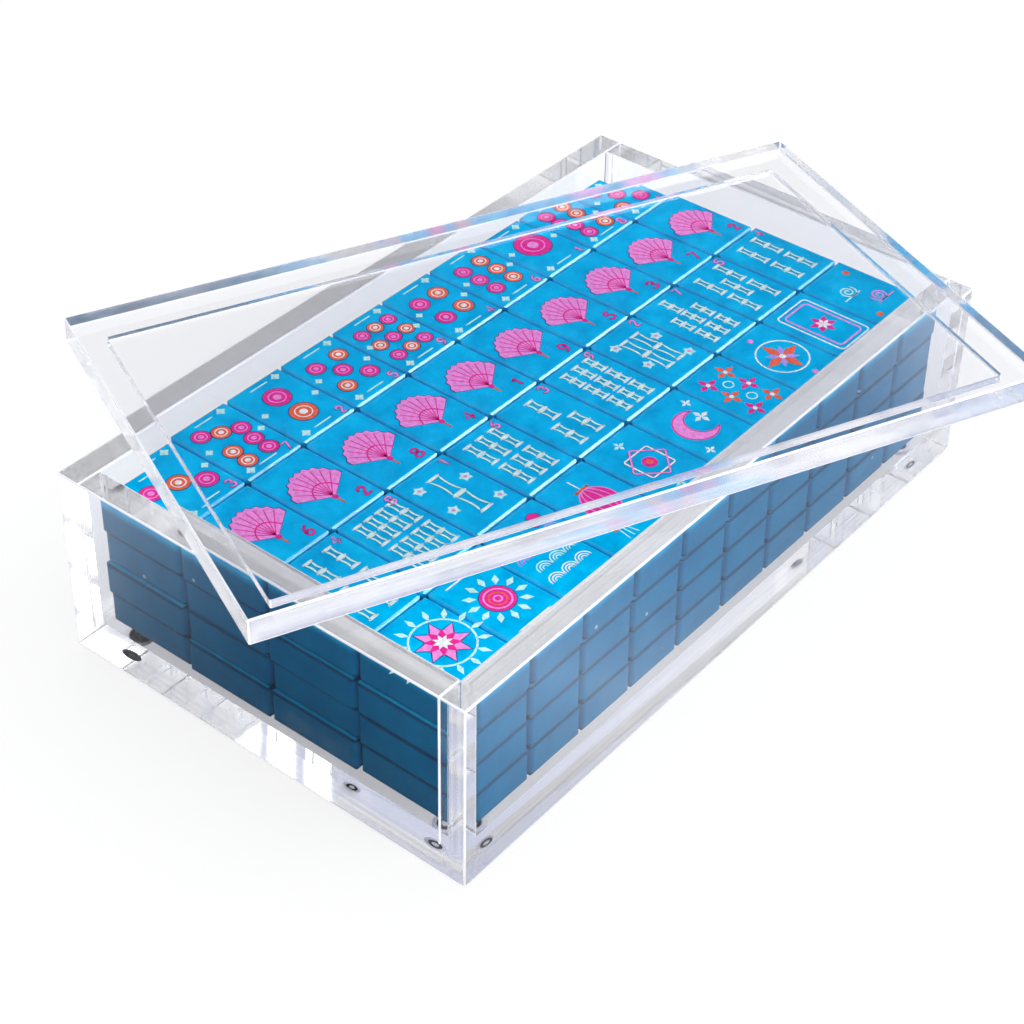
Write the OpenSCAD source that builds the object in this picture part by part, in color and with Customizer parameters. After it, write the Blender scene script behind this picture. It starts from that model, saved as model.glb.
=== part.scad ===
// Clear acrylic case for a set of mahjong tiles, with its loose lid set down askew and its tiles
// inside. Millimetres. The origin is under the middle of the case, on the surface it stands on:
// +X runs along the case's long side, +Y across it and +Z up.

/* [Tiles] */
// Long side of a tile, laid across the case
tile_l = 30; // [24:0.5:34]
// Short side of a tile, laid along the case
tile_w = 21; // [16:0.5:26]
// Thickness of a tile
tile_t = 10.6; // [8:0.1:14]
// Radius of a tile's four upright corners
tile_corner_r = 1.8; // [0.5:0.1:3]
// Radius of a tile's top and bottom edges
tile_edge_r = 1.2; // [0.4:0.1:2]
// Gap between neighbouring tiles
tile_gap = 0.3; // [0.1:0.05:0.6]
// Tiles in each line along the case
tile_rows = 10; // [4:1:10]
// Lines of tiles across the case
tile_cols = 4; // [2:1:4]
// Layers of tiles
tile_layers = 4; // [2:1:4]

/* [Case] */
// Thickness of the four walls
wall_t = 8; // [5:0.5:12]
// Thickness of the base plate
base_t = 10; // [6:0.5:14]
// Free length inside the case beyond the tiles
end_play = 6.3; // [3:0.1:10]
// Free width inside the case beyond the tiles
side_play = 3.1; // [1:0.1:8]
// How far the tiles stand off the end of the case, before their lines are shifted
end_gap = 2.25; // [1:0.05:2.9]
// How far the tiles stand off the long front wall
front_gap = 2.15; // [0.5:0.05:2.7]
// How far a line of tiles is shifted along the case at most
line_shift = 0.6; // [0:0.1:0.8]
// Free height between the tiles and the rim
head_room = 7.6; // [4:0.1:15]

/* [Lid] */
// Thickness of the lid's top plate
lid_t = 8; // [5:0.5:12]
// Thickness of the locating plate under the lid
locating_t = 3; // [2:0.5:5]
// Gap between the locating plate and each wall when the lid is closed
locating_gap = 1; // [0.5:0.1:2]
// How far the lid is turned about +Z where it lies askew on the rim
lid_turn = -24.3; // [-35:0.1:35]
// Where the middle of the lid lies along the case
lid_x = 0.4; // [-5:0.1:5]
// Where the middle of the lid lies across the case
lid_y = -2.5; // [-5:0.1:5]

/* [Feet] */
// Diameter of a bumper foot
foot_d = 7; // [5:0.5:12]
// Height of a bumper foot
foot_h = 1.6; // [1:0.1:3]
// Radius of a foot's lower edge
foot_edge_r = 0.6; // [0.2:0.1:0.9]
// Distance from the case's sides to the middle of a foot
foot_inset = 15; // [8:1:25]

/* [Hidden] */
$fn = 48;
tile_pitch_x = tile_w + tile_gap;
tile_pitch_y = tile_l + tile_gap;
inner_l = tile_rows * tile_w + (tile_rows - 1) * tile_gap + end_play;
inner_w = tile_cols * tile_l + (tile_cols - 1) * tile_gap + side_play;
case_l = inner_l + 2 * wall_t;
case_w = inner_w + 2 * wall_t;
wall_h = tile_layers * tile_t + head_room;
floor_z = foot_h + base_t;
rim_z = floor_z + wall_h;
clear_colour = [0.86, 0.92, 0.96, 0.35];
tile_colour = [0.0, 0.62, 0.87];
foot_colour = [0.35, 0.36, 0.38];

// Node names: the tiles of the top layer are nodes of their own, the others one node to a line.
function top_tile_name(row, col) = str("top_tile_row", row, "_col", col);
function tile_line_name(layer, col) = str("tiles_layer", layer, "_col", col);
CASE_NODES = ["base_plate", "front_wall", "back_wall", "left_wall", "right_wall", "bumper_feet"];
LID_NODES = ["lid_plate", "lid_locating_plate"];
TOP_TILE_NODES = [for (row = [1:tile_rows]) for (col = [1:tile_cols]) top_tile_name(row, col)];
TILE_LINE_NODES = [for (layer = [1:tile_layers - 1]) for (col = [1:tile_cols]) tile_line_name(layer, col)];

// A sheet of acrylic with its middle at (x, y) and its underside at z
module sheet(length, width, thickness, x = 0, y = 0, z = 0) {
    translate([x - length / 2, y - width / 2, z]) cube([length, width, thickness]);
}

// A rectangle about the origin with rounded corners
module rounded_rect(length, width, r) {
    square([length - 2 * r, width], center = true);
    square([length, width - 2 * r], center = true);
    for (sx = [-1, 1]) for (sy = [-1, 1])
        translate([sx * (length / 2 - r), sy * (width / 2 - r)]) circle(r = r);
}

// ---- Case ----

module base_plate() {
    color(clear_colour) sheet(case_l, case_w, base_t, z = foot_h);
}

// The two long walls run the full length of the base
module long_wall(side) {
    color(clear_colour) sheet(case_l, wall_t, wall_h, y = side * (inner_w + wall_t) / 2, z = floor_z);
}

// The two end walls stand between the long ones
module end_wall(side) {
    color(clear_colour) sheet(wall_t, inner_w, wall_h, x = side * (inner_l + wall_t) / 2, z = floor_z);
}

module foot() {
    rotate_extrude() {
        square([foot_d / 2 - foot_edge_r, foot_h]);
        translate([0, foot_edge_r]) square([foot_d / 2, foot_h - foot_edge_r]);
        intersection() {
            translate([foot_d / 2 - foot_edge_r, foot_edge_r]) circle(r = foot_edge_r);
            translate([foot_d / 2 - foot_edge_r, 0]) square([foot_edge_r, foot_edge_r]);
        }
    }
}

module bumper_feet() {
    color(foot_colour)
        for (sx = [-1, 1]) for (sy = [-1, 1])
            translate([sx * (case_l / 2 - foot_inset), sy * (case_w / 2 - foot_inset), 0]) foot();
}

// ---- Lid ----

// Sets a closed lid's sheet down on the rim as it lies askew
module askew_on_rim() {
    translate([lid_x, lid_y, rim_z]) rotate([0, 0, lid_turn]) children();
}

module lid_locating_plate() {
    color(clear_colour)
        askew_on_rim() sheet(inner_l - 2 * locating_gap, inner_w - 2 * locating_gap, locating_t);
}

module lid_plate() {
    color(clear_colour) askew_on_rim() sheet(case_l, case_w, lid_t, z = locating_t);
}

// ---- Tiles ----

// One tile about its middle: its plan, its side and its end are each a rounded rectangle
module tile() {
    intersection() {
        translate([0, 0, -tile_t / 2]) linear_extrude(tile_t) rounded_rect(tile_w, tile_l, tile_corner_r);
        rotate([90, 0, 0]) translate([0, 0, -tile_l / 2]) linear_extrude(tile_l)
            rounded_rect(tile_w, tile_t, tile_edge_r);
        rotate([90, 0, 90]) translate([0, 0, -tile_w / 2]) linear_extrude(tile_w)
            rounded_rect(tile_l, tile_t, tile_edge_r);
    }
}

// Lines of tiles don't lie quite in step with one another
function shift_of(layer, col) = line_shift * sin(137 * (layer + 2 * col));

module placed_tile(layer, row, col) {
    translate([
        -inner_l / 2 + end_gap + tile_w / 2 + (row - 1) * tile_pitch_x + shift_of(layer, col),
        -inner_w / 2 + front_gap + tile_l / 2 + (col - 1) * tile_pitch_y,
        floor_z + (layer - 0.5) * tile_t
    ]) tile();
}

module top_tile(row, col) {
    color(tile_colour) placed_tile(tile_layers, row, col);
}

module tile_line(layer, col) {
    color(tile_colour) for (row = [1:tile_rows]) placed_tile(layer, row, col);
}

// ---- Assembly ----

base_plate();
long_wall(-1);  // front_wall
long_wall(1);  // back_wall
end_wall(-1);  // left_wall
end_wall(1);  // right_wall
bumper_feet();
lid_plate();
lid_locating_plate();
for (row = [1:tile_rows]) for (col = [1:tile_cols])
    top_tile(row, col);
for (layer = [1:tile_layers - 1]) for (col = [1:tile_cols])
    tile_line(layer, col);
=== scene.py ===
"""Looks of a clear acrylic mahjong case: a loose lid lying askew, and blue tiles with painted motifs."""

import math

import bmesh
import bpy
from mathutils import Matrix, Vector


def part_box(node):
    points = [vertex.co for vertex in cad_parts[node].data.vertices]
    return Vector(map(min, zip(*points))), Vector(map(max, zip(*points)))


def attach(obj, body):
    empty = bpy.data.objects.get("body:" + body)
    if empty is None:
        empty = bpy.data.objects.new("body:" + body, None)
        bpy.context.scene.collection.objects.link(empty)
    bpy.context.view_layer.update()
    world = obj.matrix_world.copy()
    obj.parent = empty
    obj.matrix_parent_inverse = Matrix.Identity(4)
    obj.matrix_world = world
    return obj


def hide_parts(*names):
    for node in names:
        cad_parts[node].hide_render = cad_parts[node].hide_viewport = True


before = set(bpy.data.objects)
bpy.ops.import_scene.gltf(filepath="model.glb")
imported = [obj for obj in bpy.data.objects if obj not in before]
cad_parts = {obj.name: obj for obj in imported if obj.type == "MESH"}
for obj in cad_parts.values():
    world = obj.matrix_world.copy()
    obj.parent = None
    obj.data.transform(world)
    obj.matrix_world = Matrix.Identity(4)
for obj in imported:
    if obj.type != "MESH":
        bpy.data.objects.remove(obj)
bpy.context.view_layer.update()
MM = 0.001

# ---- Camera: fitted to the corners of the case, its rim, the grid of tiles and the lid ----

CAMERA_PLACE = (-0.41253, -0.31761, 0.43525)
CAMERA_YAW, CAMERA_PITCH, CAMERA_ROLL = 37.007, 36.842, 1.998
FOCAL_PX = 2287.5
PICTURE_PX = 1024
SENSOR = 36.0
SHIFT_PX = (50.0, -90.0)


def add_camera():
    yaw, pitch, roll = (math.radians(a) for a in (CAMERA_YAW, CAMERA_PITCH, CAMERA_ROLL))
    ahead = Vector((math.cos(yaw) * math.cos(pitch), math.sin(yaw) * math.cos(pitch), -math.sin(pitch)))
    level = Vector((math.sin(yaw), -math.cos(yaw), 0))
    above = level.cross(ahead)
    right = math.cos(roll) * level + math.sin(roll) * above
    up = -math.sin(roll) * level + math.cos(roll) * above
    data = bpy.data.cameras.new("camera")
    data.sensor_width = SENSOR
    data.lens = FOCAL_PX / PICTURE_PX * SENSOR
    data.shift_x, data.shift_y = -SHIFT_PX[0] / PICTURE_PX, SHIFT_PX[1] / PICTURE_PX
    camera = add_object("camera", data)
    camera.matrix_world = Matrix.Translation(CAMERA_PLACE) @ Matrix((right, up, -ahead)).transposed().to_4x4()
    bpy.context.scene.camera = camera


# ---- Node helpers ----


class Nodes:
    """A short way to write a node tree."""

    def __init__(self, tree):
        self.tree = tree
        tree.nodes.clear()

    def add(self, kind, inputs=None, **settings):
        node = self.tree.nodes.new(kind)
        for name, value in settings.items():
            setattr(node, name, value)
        for name, value in (inputs or {}).items():
            self.feed(node.inputs[name], value)
        return node

    def feed(self, socket, value):
        if isinstance(value, bpy.types.NodeSocket):
            self.tree.links.new(value, socket)
        else:
            socket.default_value = value

    def blend(self, fac, a, b):
        node = self.add("ShaderNodeMix", data_type="RGBA")
        colours = [socket for socket in node.inputs if socket.type == "RGBA"]
        self.feed(node.inputs[0], fac)
        self.feed(colours[0], a)
        self.feed(colours[1], b)
        return next(socket for socket in node.outputs if socket.type == "RGBA")

    def math(self, operation, a, b=0.0):
        node = self.add("ShaderNodeMath", operation=operation)
        self.feed(node.inputs[0], a)
        self.feed(node.inputs[1], b)
        return node.outputs[0]

    def noise(self, vector, scale, detail=3.0, roughness=0.5):
        inputs = {"Vector": vector, "Scale": scale, "Detail": detail, "Roughness": roughness}
        return self.add("ShaderNodeTexNoise", inputs).outputs["Fac"]

    def ramp(self, fac, stops):
        node = self.add("ShaderNodeValToRGB", {"Fac": fac})
        elements = node.color_ramp.elements
        while len(elements) < len(stops):
            elements.new(0.5)
        for element, (position, colour) in zip(elements, stops):
            element.position = position
            element.color = colour
        return node.outputs["Color"]

    def mix_shader(self, fac, a, b):
        node = self.add("ShaderNodeMixShader")
        self.feed(node.inputs[0], fac)
        self.feed(node.inputs[1], a)
        self.feed(node.inputs[2], b)
        return node.outputs[0]

    def smooth(self, value, from_low, from_high, to_low, to_high):
        limits = {"From Min": from_low, "From Max": from_high, "To Min": to_low, "To Max": to_high}
        node = self.add("ShaderNodeMapRange", {"Value": value, **limits}, interpolation_type="SMOOTHSTEP")
        return node.outputs[0]

    def bump(self, height, strength, distance):
        return self.add("ShaderNodeBump", {"Height": height, "Strength": strength, "Distance": distance}).outputs[0]

    def place(self):
        """Where a point lies on the object, in metres."""
        return self.add("ShaderNodeTexCoord").outputs["Object"]

    def split(self, vector):
        return self.add("ShaderNodeSeparateXYZ", {"Vector": vector}).outputs

    def path(self):
        return self.add("ShaderNodeLightPath").outputs

    def lit_through(self, surface):
        """The surface for all that is seen, and a nearly clear film for the light of the lamps."""
        film = self.add("ShaderNodeBsdfTransparent", {"Color": CLEAR_TO_LAMPS})
        return self.mix_shader(self.path()["Is Shadow Ray"], surface, film.outputs[0])

    def output(self, surface):
        self.add("ShaderNodeOutputMaterial", {"Surface": surface})


def srgb(r, g, b, a=1.0):
    """A colour written as it looks on a screen, from 0 to 255."""
    return tuple(((c / 255 + 0.055) / 1.055) ** 2.4 if c > 10 else c / 255 / 12.92 for c in (r, g, b)) + (a,)


def material(name):
    m = bpy.data.materials.new(name)
    m.use_nodes = True
    return m, Nodes(m.node_tree)


def add_object(name, data):
    thing = bpy.data.objects.new(name, data)
    bpy.context.scene.collection.objects.link(thing)
    return thing


# ---- Materials ----

ACRYLIC_IOR = 1.49
ACRYLIC_TINT = (0.972, 0.974, 1.0, 1)
CLEAR_TO_LAMPS = (0.93, 0.94, 0.95, 1)
MILKY_WHITE = srgb(250, 250, 254)
TILE_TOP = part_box("top_tile_row1_col1")[1].z
TILE_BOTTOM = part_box("tiles_layer1_col1")[0].z
TILE_LAYERS = 4
TILE_PITCH = (TILE_TOP - TILE_BOTTOM) / TILE_LAYERS
FOOT_PLACE = (0.1025, 0.055)


def acrylic():
    """Clear cast acrylic, polished, with a trace of ripple. Lamps shine straight through it."""
    m, n = material("clear_acrylic")
    ripple = n.noise(n.place(), 25.0, 1.0)
    glass = n.add(
        "ShaderNodeBsdfPrincipled",
        {"Base Color": ACRYLIC_TINT, "Roughness": 0.0, "IOR": ACRYLIC_IOR, "Transmission Weight": 1.0},
    )
    n.feed(glass.inputs["Normal"], n.bump(ripple, 0.01, 0.001))
    n.output(n.lit_through(glass.outputs[0]))
    return m


def saw_streaks(n, place, edge_frame):
    """Noise that is drawn out along each cut edge: along and across count only outside the body's inner part,
    and height only within its own limits, so that the streaks of a wall's upright end stand upright."""
    centre, turn, inner, height_limits = edge_frame
    turned = n.add(
        "ShaderNodeVectorRotate", {"Vector": place, "Center": centre, "Angle": -turn}, rotation_type="Z_AXIS"
    )
    split = n.split(turned.outputs[0])
    across = {}
    for axis, start, middle in zip("XY", inner, centre):
        outside = n.math("GREATER_THAN", n.math("ABSOLUTE", n.math("SUBTRACT", split[axis], middle)), start)
        across[axis] = n.math("MULTIPLY", split[axis], outside)
    above, below = (n.math(test, split["Z"], z) for test, z in zip(("GREATER_THAN", "LESS_THAN"), height_limits))
    across["Z"] = n.math("MULTIPLY", split["Z"], n.math("MULTIPLY", above, below))
    return n.noise(n.add("ShaderNodeCombineXYZ", across).outputs[0], 800.0, 2.0, 0.55)


def cut_edge(name, roughness, milk_and_highlight, edge_frame):
    """The cut edge of a panel: acrylic with a white skin, and saw streaks that run along the edge. The skin is partly
    the satin of a cut edge and partly a painted highlight.
    """
    m, n = material(name)
    place = n.place()
    streaks = saw_streaks(n, place, edge_frame)
    clouds = n.noise(place, 55.0, 3.0, 0.55)
    tint = n.ramp(streaks, [(0.42, (0.66, 0.66, 0.72, 1)), (0.55, (1.0, 1.0, 1.0, 1))])
    glass = n.add(
        "ShaderNodeBsdfPrincipled",
        {"Base Color": tint, "Roughness": roughness, "IOR": ACRYLIC_IOR, "Transmission Weight": 1.0},
    )
    white = n.add("ShaderNodeBsdfDiffuse", {"Color": MILKY_WHITE})
    glowing = n.add("ShaderNodeBsdfTranslucent", {"Color": MILKY_WHITE})
    skin = n.mix_shader(0.35, white.outputs[0], glowing.outputs[0])
    # Share of white skin, from the low to the high value: satin of the cut edge and painted highlight.
    limits = {"From Min": 0.35, "From Max": 0.65, "To Min": milk_and_highlight[0], "To Max": milk_and_highlight[1]}
    milk_and_highlight_share = n.add("ShaderNodeMapRange", {"Value": clouds, **limits})
    n.output(n.lit_through(n.mix_shader(milk_and_highlight_share.outputs[0], glass.outputs[0], skin)))
    return m


def welded_joint():
    """Where two panels are solvent-welded there is no surface left to see."""
    m, n = material("welded_joint")
    clear = n.add("ShaderNodeBsdfTransparent", {"Color": (1, 1, 1, 1)})
    n.output(clear.outputs[0])
    return m


def tile_plastic():
    """Satin blue plastic, slightly marbled. Faces that look up keep the bright blue, and the sides are painted a
    darker, greyer blue as painted shade, with a little dust.
    """
    m, n = material("tile_blue")
    place = n.place()
    marble = n.noise(place, 110.0, 6.0, 0.65)
    bright = n.ramp(marble, [(0.3, srgb(0, 160, 216)), (0.5, srgb(0, 180, 236)), (0.7, srgb(10, 200, 250))])
    # Painted shade: the sides get a darker, greyer blue than the top, for the shade and haze that fall on them.
    side_shade_blue = n.ramp(marble, [(0.3, srgb(2, 122, 176)), (0.7, srgb(8, 140, 194))])
    dust_spots = n.add("ShaderNodeTexVoronoi", {"Vector": place, "Scale": 70.0, "Randomness": 1.0})
    dust = n.ramp(dust_spots.outputs["Distance"], [(0.03, (1, 1, 1, 1)), (0.05, (0, 0, 0, 1))])
    dusty_side_shade = n.blend(dust, side_shade_blue, srgb(190, 212, 226))
    facing = n.split(n.add("ShaderNodeNewGeometry").outputs["Normal"])["Z"]
    height = n.split(place)["Z"]
    upward = n.smooth(facing, 0.75, 0.97, 0.0, 1.0)
    near_top = n.smooth(height, TILE_TOP - 3 * MM, TILE_TOP - 0.5 * MM, 0.0, 1.0)
    # Painted shade: a dark line where one layer lies on the next, for the shade in the groove between them, but not on
    # the top layer's own round edge
    layer = n.math("DIVIDE", n.math("SUBTRACT", height, TILE_BOTTOM), TILE_PITCH)
    from_joint = n.math("MULTIPLY", n.math("PINGPONG", layer, 0.5), TILE_PITCH)
    painted_groove_shade = n.math("SUBTRACT", 1.0, n.smooth(from_joint, 0.5 * MM, 1.3 * MM, 0.0, 1.0))
    painted_groove_shade = n.math("MULTIPLY", painted_groove_shade, n.math("LESS_THAN", height, TILE_TOP - 2 * MM))
    sides = n.blend(n.math("MULTIPLY", painted_groove_shade, 0.75), dusty_side_shade, srgb(0, 52, 88))
    # Faces that look up and the top layer's upper 3 mm of side take the lit blue of the top, a painted light; the rest
    # keeps the painted side shade.
    colour = n.blend(n.math("MAXIMUM", upward, near_top), sides, bright)
    grain = n.noise(place, 1500.0, 3.0)
    # Only the round edges glint. The plain value on the socket is what is left where the link is dropped
    shine = n.smooth(near_top, 0.0, 1.0, 0.08, 0.35)
    polish = n.math("MULTIPLY", shine, n.smooth(facing, 0.96, 0.995, 1.0, 0.0))
    shader = n.add("ShaderNodeBsdfPrincipled", {"Base Color": colour, "Roughness": 0.17, "Specular IOR Level": 0.3})
    n.feed(shader.inputs["Specular IOR Level"], polish)
    n.feed(shader.inputs["Normal"], n.bump(grain, 0.15, 0.0002))
    n.output(shader.outputs[0])
    return m


def foot_plastic():
    """A pale bumper with a dark ring painted on as shade, and a pale centre that stands in for a glint. Lamps shine
    through it as they do through the acrylic.
    """
    m, n = material("foot_rubber")
    place = n.place()
    split = n.split(place)
    across = n.math("SUBTRACT", n.math("ABSOLUTE", split["X"]), FOOT_PLACE[0])
    along = n.math("SUBTRACT", n.math("ABSOLUTE", split["Y"]), FOOT_PLACE[1])
    square = n.math("ADD", n.math("MULTIPLY", across, across), n.math("MULTIPLY", along, along))
    distance = n.math("SQRT", square)
    # Painted shade and glint: a dark ring from about 1.4 to 2.0 mm out, pale inside and outside it.
    shade_ring_starts = n.smooth(distance, 0.9 * MM, 1.4 * MM, 0.0, 1.0)
    ring = n.math("MULTIPLY", shade_ring_starts, n.smooth(distance, 2.0 * MM, 2.5 * MM, 1.0, 0.0))
    speckle = n.noise(place, 900.0, 3.0)
    ring_shade = n.ramp(speckle, [(0.3, srgb(64, 64, 72)), (0.7, srgb(96, 96, 106))])
    rubber = n.add("ShaderNodeBsdfPrincipled", {"Base Color": ring_shade, "Roughness": 0.3, "IOR": 1.45})
    glowing = n.add("ShaderNodeBsdfTranslucent", {"Color": MILKY_WHITE})
    white = n.add("ShaderNodeBsdfDiffuse", {"Color": MILKY_WHITE})
    pale_with_glint = n.mix_shader(0.5, glowing.outputs[0], white.outputs[0])
    n.output(n.lit_through(n.mix_shader(ring, pale_with_glint, rubber.outputs[0])))
    return m


def dress(node, look):
    """Gives a CAD node its one material, and leaves its mesh as it is."""
    node.data.materials.clear()
    node.data.materials.append(look)


# ---- Panels ----

CASE_PANELS = ["base_plate", "front_wall", "back_wall", "left_wall", "right_wall"]
LID_PANELS = ["lid_plate", "lid_locating_plate"]
EDGE_POLISH = 0.45 * MM
EDGE_SKIN = 0.3 * MM
AIR_GAP = 0.05 * MM
BEYOND_FACE = 0.1 * MM
SAME_PLACE = 1e-6
SAME_WAY = 0.999
CLEAR, WELDED, CUT_EDGE, ROUND_EDGE = range(4)


class Sheet:
    """A CAD panel as a box in its own turned frame: lowest and highest corner, and the turn about +Z."""

    def __init__(self, node, turn):
        self.node = node
        self.turn = turn
        back = Matrix.Rotation(-turn, 3, "Z")
        corners = [back @ v.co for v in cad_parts[node].data.vertices]
        self.low = Vector([min(c[i] for c in corners) for i in range(3)])
        self.high = Vector([max(c[i] for c in corners) for i in range(3)])

    def holds(self, point):
        return all(self.low[i] <= point[i] <= self.high[i] for i in range(3))


def turn_of(node):
    """The angle of a panel's long side about +Z."""
    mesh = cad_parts[node].data
    level = [mesh.vertices[e.vertices[1]].co - mesh.vertices[e.vertices[0]].co for e in mesh.edges]
    level = [v for v in level if abs(v.z) < SAME_PLACE]
    sides = sorted({(round(v.length, 5), round(math.atan2(v.y, v.x) % math.pi, 5)) for v in level})
    # A face's diagonal is its longest edge, so the long side comes first among the edges square to another one
    for length, angle in reversed(sides):
        if any(abs(abs(angle - a) - math.pi / 2) < 1e-3 for _, a in sides):
            return angle if angle < math.pi / 2 else angle - math.pi
    return 0.0


def stops(low, high, others):
    """Where a panel's face has to be split so that welded parts are faces of their own."""
    inside = {o for o in others if low + SAME_PLACE < o < high - SAME_PLACE}
    return sorted({low, high} | inside)


def build_panel(sheet, group, materials, seam):
    """A polished box. Faces that meet another panel of the group get the welded material.

    Edges are rounded where two open faces meet, and beside a weld only where `seam` says so of the edge's middle.
    """
    others = [s for s in group if s is not sheet]
    cuts = [
        stops(sheet.low[i], sheet.high[i], [c for s in others for c in (s.low[i], s.high[i])]) for i in range(3)
    ]
    bm = bmesh.new()
    verts = {}

    def vert(ijk):
        if ijk not in verts:
            verts[ijk] = bm.verts.new([cuts[a][ijk[a]] for a in range(3)])
        return verts[ijk]

    for axis in range(3):
        u, v = (axis + 1) % 3, (axis + 2) % 3
        for side in (0, len(cuts[axis]) - 1):
            for i in range(len(cuts[u]) - 1):
                for j in range(len(cuts[v]) - 1):
                    ring = []
                    for du, dv in ((0, 0), (1, 0), (1, 1), (0, 1)):
                        ijk = [0, 0, 0]
                        ijk[axis], ijk[u], ijk[v] = side, i + du, j + dv
                        ring.append(vert(tuple(ijk)))
                    bm.faces.new(ring if side else ring[::-1])
    bm.normal_update()
    thickness = min(range(3), key=lambda i: sheet.high[i] - sheet.low[i])
    for face in bm.faces:
        beyond = face.calc_center_median() + face.normal * BEYOND_FACE
        if any(s.holds(beyond) for s in others):
            face.material_index = WELDED
        else:
            face.material_index = CLEAR if abs(face.normal[thickness]) > SAME_WAY else CUT_EDGE

    polished = []
    for edge in bm.edges:
        if edge.calc_face_angle(0) < 1:
            continue
        welded = sum(f.material_index == WELDED for f in edge.link_faces)
        middle = (edge.verts[0].co + edge.verts[1].co) / 2
        if welded == 0 or (welded == 1 and seam(middle)):
            polished.append(edge)
    bmesh.ops.bevel(bm, geom=polished, offset=EDGE_POLISH, segments=2, profile=0.5, affect="EDGES", clamp_overlap=True)
    bm.normal_update()
    for face in bm.faces:
        if max(abs(c) for c in face.normal) < SAME_WAY:
            face.material_index = ROUND_EDGE
    mesh = bpy.data.meshes.new(sheet.node + "_panel")
    bm.to_mesh(mesh)
    bm.free()
    for m in materials:
        mesh.materials.append(m)
    mesh.transform(Matrix.Rotation(sheet.turn, 4, "Z"))
    return add_object(mesh.name, mesh)


def add_panels(nodes, body, materials, seam, open_gap):
    """Replaces the panels of one body by polished ones."""
    turn = turn_of(nodes[0])
    group = [Sheet(n, turn) for n in nodes]
    open_gap(group)
    pieces = []
    for sheet in group:
        piece = build_panel(sheet, group, materials, seam)
        pieces.append(piece)
        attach(piece, body)
        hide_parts(sheet.node)
    return pieces


def part_base_from_tiles(group):
    """Leaves a film of air between the base and the tiles, so that the base mirrors inside as the real one does."""
    base, *walls = group
    base.high.z -= AIR_GAP
    for wall in walls:
        wall.low.z -= AIR_GAP


def part_lid_from_rim(group):
    """Leaves a film of air between the locating plate and the rim it lies on."""
    group[1].low.z += AIR_GAP


# ---- Motifs painted on the top layer ----

PAINT_RISE = 0.05 * MM
LEVEL_RISE = 0.02 * MM
PAINTS = {
    "magenta": (246, 32, 156),
    "pink": (255, 150, 232),
    "coral": (255, 104, 70),
    "mint": (206, 255, 250),
    "white": (246, 255, 255),
    "lilac": (190, 160, 244),
    # deep: dark blue laid just outside many motifs and digits, a painted shade of the engraved edge round them
    "deep": (0, 92, 150),
}
PAINT_NAMES = list(PAINTS)
DIGITS = {
    1: [(0.08, 0.75), (0.32, 1), (0.32, 0)],
    2: [(0, 0.74), (0.06, 0.95), (0.3, 1.05), (0.56, 0.92), (0.56, 0.66), (0.3, 0.36), (0, 0), (0.6, 0)],
    3: [
        (0, 0.88), (0.2, 1.05), (0.55, 0.98), (0.55, 0.62), (0.2, 0.54), (0.62, 0.48), (0.62, 0.04), (0.2, -0.06),
        (0, 0.12),
    ],
    4: [(0.46, 0), (0.46, 1), (0, 0.32), (0.64, 0.32)],
    5: [(0.56, 1), (0.08, 1), (0.02, 0.56), (0.4, 0.66), (0.64, 0.4), (0.56, 0.02), (0.2, -0.04), (0, 0.1)],
    6: [
        (0.48, 1.02), (0.14, 0.78), (-0.02, 0.3), (0.1, -0.04), (0.5, -0.04), (0.62, 0.34), (0.36, 0.56), (0.04, 0.36),
    ],
    7: [(0, 1), (0.6, 1), (0.22, 0)],
    8: [
        (0.3, 0.52), (0.02, 0.66), (0.06, 1.02), (0.54, 1.02), (0.58, 0.66), (0.3, 0.52), (-0.06, 0.36), (0.0, -0.04),
        (0.6, -0.04), (0.66, 0.36), (0.3, 0.52),
    ],
    9: [(0.12, -0.02), (0.46, 0.22), (0.62, 0.7), (0.5, 1.04), (0.1, 1.04), (-0.02, 0.66), (0.24, 0.44), (0.56, 0.64)],
}
SHARP_DIGITS = (1, 4, 7)
DIGIT_LINE, DIGIT_OUTLINE = 0.6, 0.95


def softened(points, rounds=3):
    """A polyline with its corners cut again and again, its ends kept."""
    for _ in range(rounds):
        cut = [points[0]]
        for (ax, ay), (bx, by) in zip(points, points[1:]):
            cut += [(0.75 * ax + 0.25 * bx, 0.75 * ay + 0.25 * by), (0.25 * ax + 0.75 * bx, 0.25 * ay + 0.75 * by)]
        points = cut + [points[-1]]
    return points


def arc(x, y, r, start, end, count=24):
    """Points on an arc, from one angle to another, in degrees."""
    angles = [math.radians(start + (end - start) * i / count) for i in range(count + 1)]
    return [(x + r * math.cos(a), y + r * math.sin(a)) for a in angles]


def on_arc(x, y, r, angle):
    return arc(x, y, r, angle, angle, 1)[0]


def circle(x, y, r, step=15):
    return arc(x, y, r, 0, 360 - step, 360 // step - 1)


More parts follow.
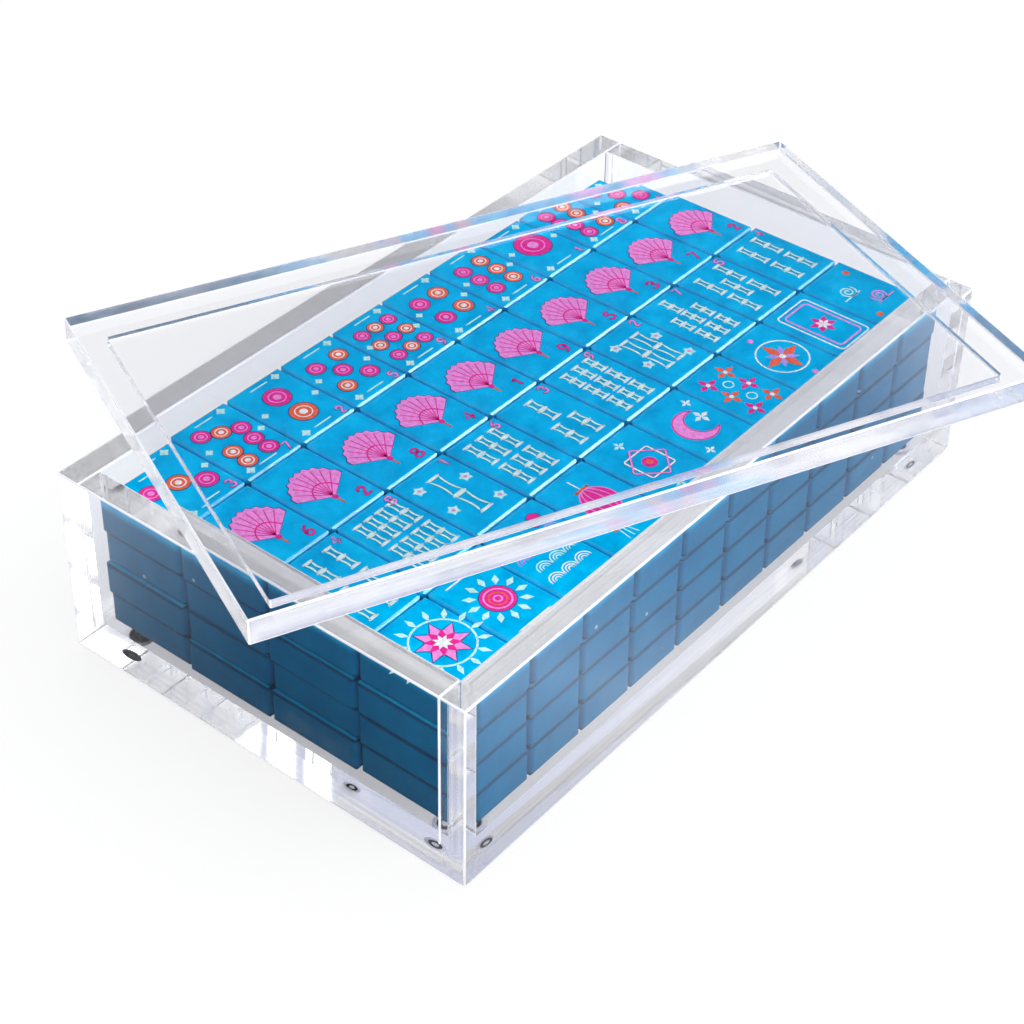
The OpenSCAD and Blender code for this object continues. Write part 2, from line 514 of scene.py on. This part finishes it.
class Art:
    """Thin painted shapes on one tile, drawn in millimetres from its middle: x along the case, y across it."""

    def __init__(self):
        self.bm = bmesh.new()

    def prism(self, tops, bottoms, faces, paint):
        """A closed prism whose cap is the given faces over the points."""
        index = PAINT_NAMES.index(paint)
        borders = {}
        for face in faces:
            self.bm.faces.new([tops[i] for i in face]).material_index = index
            self.bm.faces.new([bottoms[i] for i in reversed(face)]).material_index = index
            for a, b in zip(face, face[1:] + face[:1]):
                borders[a, b] = borders.get((a, b), 0) + 1
        for a, b in borders:
            if (b, a) not in borders:
                self.bm.faces.new([tops[a], bottoms[a], bottoms[b], tops[b]]).material_index = index

    def cap(self, points, faces, paint, level):
        height = PAINT_RISE + level * LEVEL_RISE
        tops = [self.bm.verts.new((x * MM, y * MM, height)) for x, y in points]
        bottoms = [self.bm.verts.new((x * MM, y * MM, -PAINT_RISE)) for x, y in points]
        self.prism(tops, bottoms, faces, paint)

    def plate(self, points, paint, level=1):
        self.cap(points, [tuple(range(len(points)))], paint, level)

    def disc(self, x, y, r, paint, level=1):
        self.plate(circle(x, y, r), paint, level)

    def band(self, points, width, paint, level=1, closed=False):
        """A line of even width through the points."""
        n = len(points)
        left, right = [], []
        for i, (x, y) in enumerate(points):
            before = points[i - 1] if i or closed else points[0]
            after = points[(i + 1) % n] if i < n - 1 or closed else points[-1]
            dx, dy = after[0] - before[0], after[1] - before[1]
            size = math.hypot(dx, dy) or 1.0
            ox, oy = -dy / size * width / 2, dx / size * width / 2
            left.append((x + ox, y + oy))
            right.append((x - ox, y - oy))
        faces = [(n + i, n + (i + 1) % n, (i + 1) % n, i) for i in range(n if closed else n - 1)]
        self.cap(left + right, faces, paint, level)
        if not closed:
            for x, y in (points[0], points[-1]):
                self.disc(x, y, width / 2, paint, level)

    def ring(self, x, y, r, width, paint, level=1):
        self.band(circle(x, y, r), width, paint, level, closed=True)

    def digit(self, value, x, y, height, paint):
        shape = DIGITS[value] if value in SHARP_DIGITS else softened(DIGITS[value])
        line = [(x + (px - 0.3) * height, y + (py - 0.5) * height) for px, py in shape]
        # The deep outline under the digit is painted shade of its engraved edge.
        self.band(line, DIGIT_OUTLINE, "deep", 0)
        self.band(line, DIGIT_LINE, paint, 2)

    def finish(self, name, materials):
        mesh = bpy.data.meshes.new(name)
        bmesh.ops.recalc_face_normals(self.bm, faces=self.bm.faces)
        self.bm.to_mesh(mesh)
        self.bm.free()
        for m in materials:
            mesh.materials.append(m)
        return add_object(name, mesh)


def petals(art, x, y, count, inner, outer, width, paint, turn=0.0, level=1):
    """Pointed petals or rays round a centre."""
    for i in range(count):
        a = math.radians(turn + 360 * i / count)
        c, s = math.cos(a), math.sin(a)
        shape = [(inner, 0), ((inner + outer) / 2, -width / 2), (outer, 0), ((inner + outer) / 2, width / 2)]
        art.plate([(x + u * c - v * s, y + u * s + v * c) for u, v in shape], paint, level)


PIP_PLACES = {
    1: [(0, 0)],
    2: [(0, 5), (0, -5)],
    3: [(-4.6, 6), (0, 0), (4.6, -6)],
    4: [(-4, 5), (4, 5), (-4, -5), (4, -5)],
    5: [(-4.6, 6), (4.6, 6), (0, 0), (-4.6, -6), (4.6, -6)],
    6: [(-4, 6.4), (4, 6.4), (-4, 0), (4, 0), (-4, -6.4), (4, -6.4)],
    7: [(-5, 8), (0, 5.4), (5, 2.8), (-4, -3), (4, -3), (-4, -8.6), (4, -8.6)],
    8: [(x, y) for y in (8.4, 2.8, -2.8, -8.4) for x in (-4, 4)],
    9: [(x, y) for y in (7, 0, -7) for x in (-5.6, 0, 5.6)],
}


def circles_suit(art, value):
    """Ringed pips in magenta and coral, with mint diamonds beside them."""
    r = {1: 5.8, 2: 4.0, 3: 3.2, 4: 3.0, 9: 2.4}.get(value, 2.7)
    for i, (x, y) in enumerate(PIP_PLACES[value]):
        outer, inner = (("magenta", "pink"), ("coral", "white"))[i % 2]
        art.disc(x, y, r + 0.35, "deep", 0)
        art.disc(x, y, r, outer, 1)
        art.ring(x, y, r * 0.62, 0.35, inner, 2)
        art.disc(x, y, r * 0.3, inner, 2)
    for side in (-1, 1):
        petals(art, side * 8.4, side * -1.4, 4, 0, 1.3, 1.2, "mint", 0, 1)
        petals(art, side * 6.6, side * 12.2, 4, 0, 1.6, 1.4, "mint", 0, 1)
        art.band([(side * 3.2, side * 12.2), (side * -3.0, side * 12.2)], 0.45, "mint", 1)
    art.digit(value, 7.4, -12.0, 3.0, "pink")


FAN_HUB, FAN_REACH, FAN_SPREAD, FAN_FOLDS = -6.5, 14.0, 66, 9
FAN_SQUEEZE = 0.66


def fan_motif(art, value):
    """An open folding fan in pink, with magenta ribs."""
    folds = [90 + FAN_SPREAD - 2 * FAN_SPREAD * i / FAN_FOLDS for i in range(FAN_FOLDS + 1)]
    outline = [(0, FAN_HUB)]
    for a0, a1 in zip(folds, folds[1:]):
        outline += [on_arc(0, FAN_HUB, FAN_REACH, a0), on_arc(0, FAN_HUB, FAN_REACH + 0.9, (a0 + a1) / 2)]
    outline.append(on_arc(0, FAN_HUB, FAN_REACH, 90 - FAN_SPREAD))
    art.plate([(x * FAN_SQUEEZE * 1.05, (y + 1.5) * 1.03 - 1.5) for x, y in outline][::-1], "deep", 0)
    art.plate([(x * FAN_SQUEEZE, y) for x, y in outline][::-1], "pink", 1)
    for a in folds[1:-1]:
        x, y = on_arc(0, FAN_HUB, FAN_REACH * 0.93, a)
        art.band([(0, FAN_HUB + 1), (x * FAN_SQUEEZE, y)], 0.3, "magenta", 2)
    arch = arc(0, FAN_HUB, FAN_REACH * 0.5, 90 + FAN_SPREAD, 90 - FAN_SPREAD)
    art.band([(x * FAN_SQUEEZE, y) for x, y in arch], 0.45, "magenta", 3)
    art.disc(0, FAN_HUB, 0.9, "magenta", 3)
    art.band([(0, FAN_HUB - 0.8), (0, FAN_HUB - 3.4)], 0.5, "coral", 2)
    art.digit(value, 6.6, -10.4, 3.6, "magenta")


STICK_PLACES = {
    1: [(0, 0)],
    2: [(-2.6, 0), (2.6, 0)],
    3: [(0, 6.2), (-3.6, -6.2), (3.6, -6.2)],
    4: [(x, y) for y in (6.2, -6.2) for x in (-3.6, 3.6)],
    5: [(-5, 6.2), (5, 6.2), (0, 0), (-5, -6.2), (5, -6.2)],
    6: [(x, y) for y in (6.2, -6.2) for x in (-5, 0, 5)],
    7: [(0, 8.8)] + [(x, y) for y in (0.8, -7.8) for x in (-5, 0, 5)],
    8: [(x, y) for y in (6.2, -6.2) for x in (-6.3, -2.1, 2.1, 6.3)],
    9: [(x, y) for y in (8.2, 0, -8.2) for x in (-5, 0, 5)],
}


def cane(art, x, y, half, waist, paint):
    """A bamboo cane in outline: two waisted lengths and a bar at each knot."""
    for side in (-1, 1):
        steps = [i / 6 for i in range(7)]
        reach = [y + side * (0.5 + (half - 0.9) * t) for t in steps]
        bulge = [waist * (0.66 + 0.34 * (2 * t - 1) ** 2) for t in steps]
        line = [(x - w, v) for v, w in zip(reach, bulge)] + [(x + w, v) for v, w in zip(reach[::-1], bulge)]
        art.band(line, 0.95, "deep", 0, closed=True)
        art.band(line, 0.66, paint, 1, closed=True)
    for v in (y - half, y, y + half):
        art.band([(x - waist - 0.25, v), (x + waist + 0.25, v)], 0.62, "white", 2)


def sticks_suit(art, value):
    """Bamboo canes drawn in pale lines, with small blossoms where there is room."""
    half = {1: 9.4, 2: 8.4, 9: 3.4, 7: 3.4}.get(value, 5.0)
    waist = {1: 1.9, 2: 1.6, 3: 1.4}.get(value, 1.15)
    for i, (x, y) in enumerate(STICK_PLACES[value]):
        cane(art, x, y, half, waist, "mint")
    if value <= 2:
        for x, y in ((-6.4, 8.4), (6.4, 3.4), (-6.4, -3.4), (6.4, -8.4)):
            petals(art, x, y, 5, 0, 2.0, 1.5, "mint", 18, 1)
            art.disc(x, y, 0.55, "pink", 2)
    art.digit(value, 7.4, 11.9, 3.0, "pink")


def star_tile(art):
    for side in (-1, 1):
        petals(art, 0, 0, 7, 8.4, 12.6, 1.6, "mint", side * 90 - 51, 1)
    art.ring(0, 0, 8.6, 0.55, "mint", 1)
    petals(art, 0, 0, 8, 0, 8.0, 3.8, "deep", 22.5, 0)
    petals(art, 0, 0, 8, 0, 7.5, 3.1, "pink", 22.5, 1)
    petals(art, 0, 0, 8, 0, 5.0, 2.2, "magenta", 0, 2)
    petals(art, 0, 0, 8, 0, 2.8, 1.1, "white", 22.5, 3)


def sun_tile(art):
    petals(art, 0, 0, 12, 5.4, 9.2, 1.9, "mint", 15)
    art.disc(0, 0, 5.1, "deep", 0)
    art.disc(0, 0, 4.8, "magenta", 1)
    for r, paint in ((3.7, "pink"), (2.4, "coral"), (1.1, "pink")):
        art.ring(0, 0, r, 0.5, paint, 2)
    for y in (-12.0, 12.0):
        art.band([(-6, y), (6, y)], 0.5, "white", 1)


def waves_tile(art):
    for row, paint in enumerate(("white", "mint", "lilac")):
        for i in range(3):
            x, y = -5.4 + 5.4 * i + (row % 2) * 1.4, -7 + 5.2 * row
            for r in (2.5, 1.6, 0.8):
                art.band(arc(x, y, r, 0, 180, 14), 0.38, paint, 1)
    art.disc(4.0, 9.0, 2.2, "deep", 0)
    art.disc(4.0, 9.0, 1.9, "magenta", 1)


def moon_tile(art):
    crescent = arc(0, 0, 6.6, 60, 300) + arc(2.6, 0, 5.0, 292, 68)
    art.plate(crescent, "pink", 1)
    art.band(crescent, 0.4, "magenta", 2, closed=True)
    for x, y, r in ((4.2, 1.2, 2.2), (6.4, 8.0, 1.4), (-6.4, -9.4, 1.4)):
        petals(art, x, y, 4, 0, r * 1.3, r * 0.7, "white", 0, 2)


def lattice_tile(art):
    for x in (-4.2, 4.2):
        for y in (-8, 0, 8):
            petals(art, x, y, 4, 0, 3.6, 1.9, ("magenta", "coral")[(x > 0) ^ (y == 0)], 0, 1)
            art.disc(x, y, 0.7, "white", 2)
    for y in (-4, 4):
        art.ring(0, y, 1.5, 0.4, "mint", 1)


def lantern_tile(art):
    for i, w in enumerate((5.2, 3.4, 1.4)):
        shape = [(w * math.cos(math.radians(a)), 6.2 * math.sin(math.radians(a))) for a in range(0, 360, 15)]
        if i == 0:
            art.plate(shape, "magenta", 1)
        art.band(shape, 0.35, "pink", 2 + i, closed=True)
    for y in (-6.6, 6.6):
        art.band([(-2.4, y), (2.4, y)], 0.8, "coral", 3)
    art.band([(0, 7), (0, 11.5)], 0.4, "white", 1)
    for x in (-1.2, 0, 1.2):
        art.band([(x, -7.2), (x * 1.6, -11.2)], 0.35, "mint", 1)


def knot_tile(art):
    for turn, paint, level in ((0, "white", 1), (45, "pink", 2)):
        c, s = math.cos(math.radians(turn)), math.sin(math.radians(turn))
        square = [(x * c - y * s, x * s + y * c) for x, y in ((-5, -5), (5, -5), (5, 5), (-5, 5))]
        line = []
        for (ax, ay), (bx, by) in zip(square, square[1:] + square[:1]):
            line += [(ax + (bx - ax) * t, ay + (by - ay) * t) for t in (0.04, 0.5, 0.96)]
        art.band(line, 0.9, "deep", 0, closed=True)
        art.band(line, 0.55, paint, level, closed=True)
    art.disc(0, 0, 2.2, "magenta", 1)
    art.disc(0, 0, 1.0, "coral", 2)
    for y in (-10.4, 10.4):
        petals(art, 0, y, 4, 0, 2.0, 1.1, "mint", 0)


def compass_tile(art):
    art.ring(0, 0, 7.8, 0.45, "white")
    petals(art, 0, 0, 4, 0, 7.2, 3.0, "coral", 0, 1)
    petals(art, 0, 0, 4, 0, 5.0, 2.0, "lilac", 45, 2)
    art.disc(0, 0, 1.0, "white", 3)
    for y in (-11.2, 11.2):
        art.disc(0, y, 0.9, "pink")


def frame_tile(art):
    """The plain frame that stands for an empty tile in many sets."""
    r = 1.4
    for inset, paint in ((0.0, "white"), (1.6, "pink")):
        x, y = 7.2 - inset, 11.6 - inset
        line = []
        for cx, cy, a in ((x, y, 0), (-x, y, 90), (-x, -y, 180), (x, -y, 270)):
            line += arc(cx - math.copysign(r, cx), cy - math.copysign(r, cy), r, a, a + 90, 6)
        art.band(line, 0.5, paint, 1, closed=True)
    petals(art, 0, 0, 6, 0, 4.4, 2.2, "magenta", 30, 1)
    petals(art, 0, 0, 6, 0, 2.6, 1.2, "white", 0, 2)


def cloud_tile(art):
    for x, y, side, paint in ((-2.4, 3.6, 1, "mint"), (2.4, -4.2, -1, "pink")):
        spiral = [
            (x + side * (0.5 + a / 300) * math.cos(math.radians(a)), y + (0.5 + a / 300) * math.sin(math.radians(a)))
            for a in range(0, 760, 20)
        ]
        art.band(spiral, 0.5, paint, 1)
        art.band([(x + side * 3, y - 2.4), (x - side * 4.6, y - 2.4)], 0.5, paint, 1)
    for x, y in ((6, 9.6), (-6, -10)):
        art.disc(x, y, 1.1, "coral", 1)


CIRCLES_ORDER = [3, 7, 2, 5, 9, 4, 6, 1, 8, 5]
FANS_ORDER = [6, 2, 8, 4, 1, 9, 5, 3, 7, 2]
STICKS_ORDER = [4, 8, 1, 6, 3, 9, 2, 7, 5, 4]
MIXED_TILES = [
    star_tile, sun_tile, waves_tile, lantern_tile, knot_tile, moon_tile, lattice_tile, compass_tile, frame_tile,
    cloud_tile,
]


def paint_material(name, colour):
    m, n = material("paint_" + name)
    streaks = n.noise(n.place(), 700.0, 3.0)
    darker = tuple(0.86 * c for c in colour)
    shade = n.ramp(streaks, [(0.3, srgb(*darker)), (0.65, srgb(*colour))])
    shader = n.add("ShaderNodeBsdfPrincipled", {"Base Color": shade, "Roughness": 0.38, "Specular IOR Level": 0.3})
    n.feed(shader.inputs["Normal"], n.bump(streaks, 0.25, 0.0001))
    n.output(shader.outputs[0])
    return m


def add_motifs():
    """Three suits, one for each of three lines of tiles, and mixed motifs on the near line."""
    paints = [paint_material(name, colour) for name, colour in PAINTS.items()]
    for row in range(10):
        for col in range(4):
            node = f"top_tile_row{row + 1}_col{col + 1}"
            art = Art()
            if col == 3:
                circles_suit(art, CIRCLES_ORDER[row])
            elif col == 2:
                fan_motif(art, FANS_ORDER[row])
            elif col == 1:
                sticks_suit(art, STICKS_ORDER[row])
            else:
                MIXED_TILES[row](art)
            piece = art.finish(node.replace("top_tile", "motif"), paints)
            low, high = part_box(node)
            piece.location = ((low.x + high.x) / 2, (low.y + high.y) / 2, high.z)
            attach(piece, node.replace("top_tile", "tile"))


# ---- Stage and light ----


def after_paint(n):
    """1 for light that has already left a painted surface, 0 for what the camera sees straight or through acrylic."""
    return n.math("MINIMUM", n.path()["Diffuse Depth"], 1.0)


def piped(n):
    """1 for light mirrored more than once on its way through the acrylic."""
    return n.math("GREATER_THAN", n.path()["Glossy Depth"], 1.5)


def mirrored_once(n):
    """1 for light mirrored a single time, which is haze on a tile or panel."""
    inputs = {0: n.path()["Glossy Depth"], 1: 1.0, 2: 0.25}
    return n.add("ShaderNodeMath", inputs, operation="COMPARE").outputs[0]


# Where each dark flag lies, how far out it begins and ends to fade, and how light it is in its middle
FLAGS = [((-0.165, -0.03, 0.0), 0.05, 0.19, 0.08), ((0.06, -0.11, 0.0), 0.03, 0.15, 0.35)]
FLOOR_SIZE = 6


def add_floor():
    """White floor. Two dark flags beside the case show only in reflections, and keep its sides deep."""
    m, n = material("floor")
    place = n.place()
    flag = 1.0
    for centre, inner, outer, depth in FLAGS:
        away = n.add("ShaderNodeVectorMath", {0: place}, operation="DISTANCE")
        away.inputs[1].default_value = centre
        flag = n.math("MINIMUM", n.smooth(away.outputs["Value"], inner, outer, depth, 1.0), flag)
    flagged = n.math("MAXIMUM", after_paint(n), mirrored_once(n))
    flag = n.math("SUBTRACT", 1.0, n.math("MULTIPLY", flagged, n.math("SUBTRACT", 1.0, flag)))
    paint = n.add("ShaderNodeBsdfDiffuse", {"Color": n.blend(flag, (0, 0, 0, 1), (0.92, 0.92, 0.92, 1))})
    glow = n.add("ShaderNodeEmission", {"Color": (1, 1, 1, 1), "Strength": flag})
    # Part of the floor is plain white to the camera, and the other part keeps the shadow
    path = n.path()
    through = n.math("MAXIMUM", path["Is Transmission Ray"], piped(n))
    share = n.math("ADD", n.math("MULTIPLY", path["Is Camera Ray"], 0.8), n.math("MULTIPLY", through, 0.55))
    unpainted = n.math("SUBTRACT", 1.0, after_paint(n))
    n.output(n.mix_shader(n.math("MULTIPLY", share, unpainted), paint.outputs[0], glow.outputs[0]))
    bpy.ops.mesh.primitive_plane_add(size=FLOOR_SIZE)
    floor = bpy.context.object
    floor.name = "floor"
    floor.data.materials.append(m)


DARK_CARD = (0.64, 0.48, 0.6)
SOFT_LIGHT = (0.35, -0.45, 0.82)
CASE_MIDDLE = Vector((0, 0, 0.03))


def toward(n, direction, target, low, high, at_low, at_high):
    """A smooth step in how near a direction lies to a target."""
    node = n.add("ShaderNodeVectorMath", {0: direction}, operation="DOT_PRODUCT")
    node.inputs[1].default_value = Vector(target).normalized()
    return n.smooth(node.outputs["Value"], low, high, at_low, at_high)


def light_world():
    """White to the camera, a soft light on what is painted, and a room with a dark card to what mirrors."""
    world = bpy.data.worlds.new("studio")
    bpy.context.scene.world = world
    world.use_nodes = True
    world.cycles.sampling_method = "NONE"
    n = Nodes(world.node_tree)
    direction = n.add("ShaderNodeTexCoord").outputs["Generated"]
    card = toward(n, direction, DARK_CARD, 0.6, 0.86, 0.95, 0.04)
    patches = n.noise(direction, 2.6, 2.0)
    room = n.ramp(patches, [(0.4, (0.7, 0.73, 0.88, 1)), (0.54, (1.12, 1.12, 1.14, 1))])
    room = n.blend(piped(n), (1.0, 1.0, 1.0, 1), room)
    walls = n.add("ShaderNodeBackground", {"Color": n.blend(mirrored_once(n), room, card), "Strength": 1.0})
    soft = toward(n, direction, SOFT_LIGHT, -0.6, 1.0, 0.4, 1.3)
    light = n.add("ShaderNodeBackground", {"Color": (0.97, 0.98, 1, 1), "Strength": soft})
    white = n.add("ShaderNodeBackground", {"Color": (1, 1, 1, 1), "Strength": 1.0})
    surface = n.mix_shader(after_paint(n), walls.outputs[0], light.outputs[0])
    surface = n.mix_shader(n.path()["Is Camera Ray"], surface, white.outputs[0])
    n.add("ShaderNodeOutputWorld", {"Surface": surface})


def add_lamp(name, place, size, power):
    """A square lamp that shines at the middle of the case."""
    data = bpy.data.lights.new(name, "AREA")
    data.shape = "SQUARE"
    data.size = size
    data.energy = power
    lamp = add_object(name, data)
    lamp.location = place
    lamp.rotation_euler = (CASE_MIDDLE - Vector(place)).to_track_quat("-Z", "Y").to_euler()
    return lamp


def link_light(lamp, nodes, **visible):
    """Limits a lamp to some nodes and to some kinds of reflection."""
    lit = bpy.data.collections.new(lamp.name + "_lit")
    for node in nodes:
        lit.objects.link(node)
    lamp.light_linking.receiver_collection = lit
    for kind, on in visible.items():
        setattr(lamp, "visible_" + kind, on)


STRIP_PLACE = (0.77, -0.55, 0.73)
STRIP_LONG_WAY = (0.0, 0.8, 0.6)
STRIP_WIDTH, STRIP_LENGTH = 0.35, 1.1
STRIP_POWER = 80.0
STRIP_COLOUR = (0.66, 1.0, 0.95)


def add_strip_light():
    """A long soft strip that only glints: it draws the light line along the near edge of every tile."""
    data = bpy.data.lights.new("strip", "AREA")
    data.shape = "RECTANGLE"
    data.size, data.size_y = STRIP_WIDTH, STRIP_LENGTH
    data.energy = STRIP_POWER
    data.color = STRIP_COLOUR
    lamp = add_object("strip", data)
    away = Vector(STRIP_PLACE).normalized()
    across = Vector(STRIP_LONG_WAY).cross(away).normalized()
    along = away.cross(across)
    lamp.matrix_world = Matrix.Translation(STRIP_PLACE) @ Matrix((across, along, away)).transposed().to_4x4()
    tiles = [node for name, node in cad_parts.items() if name.startswith("top_tile")]
    link_light(lamp, tiles, diffuse=False, camera=False)


# ---- Build ----

add_camera()

# For the saw streaks of each body: its middle, its turn, half the inner part along and across, and the height limits
wall_low, wall_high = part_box("front_wall")
end_wall_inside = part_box("left_wall")[1].x
CASE_EDGES = ((0, 0, 0), 0.0, (-end_wall_inside, -wall_high.y), (0.0, wall_low.z))
lid_sheet = Sheet("lid_plate", turn_of("lid_plate"))
lid_middle = Matrix.Rotation(lid_sheet.turn, 3, "Z") @ ((lid_sheet.low + lid_sheet.high) / 2)
lid_inner = [(lid_sheet.high[i] - lid_sheet.low[i]) / 2 - EDGE_SKIN for i in range(2)]
LID_EDGES = (tuple(lid_middle), lid_sheet.turn, lid_inner, (0.0, 1.0))

clear, welded = acrylic(), welded_joint()
# The round edges are mostly white skin: a painted highlight line along each polished edge.
round_edge = cut_edge("round_edge", roughness=0.25, milk_and_highlight=(0.6, 0.8), edge_frame=CASE_EDGES)
case_edge = cut_edge("case_edge", roughness=0.08, milk_and_highlight=(0.02, 0.08), edge_frame=CASE_EDGES)
lid_edge = cut_edge("lid_edge", roughness=0.16, milk_and_highlight=(0.03, 0.12), edge_frame=LID_EDGES)
floor_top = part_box("base_plate")[1].z
panels = add_panels(
    CASE_PANELS, "case", [clear, welded, case_edge, round_edge], lambda p: p.z > floor_top + MM, part_base_from_tiles
)
panels += add_panels(LID_PANELS, "lid", [clear, welded, lid_edge, round_edge], lambda p: False, part_lid_from_rim)

blue = tile_plastic()
for name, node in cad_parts.items():
    if name.startswith(("top_tile", "tiles_")):
        dress(node, blue)
dress(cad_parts["bumper_feet"], foot_plastic())
add_motifs()

add_floor()
light_world()
add_lamp("key", (0.45, -0.75, 0.8), size=0.7, power=5.0)
add_strip_light()
edge_light = add_lamp("edge", (-0.75, -0.95, 0.4), size=0.6, power=20.0)
link_light(edge_light, panels, camera=False, glossy=False, transmission=False)

bpy.context.scene.view_settings.view_transform = "Standard"
cycles = bpy.context.scene.cycles
cycles.max_bounces = 24
cycles.transmission_bounces = 24
cycles.glossy_bounces = 16
cycles.transparent_max_bounces = 24
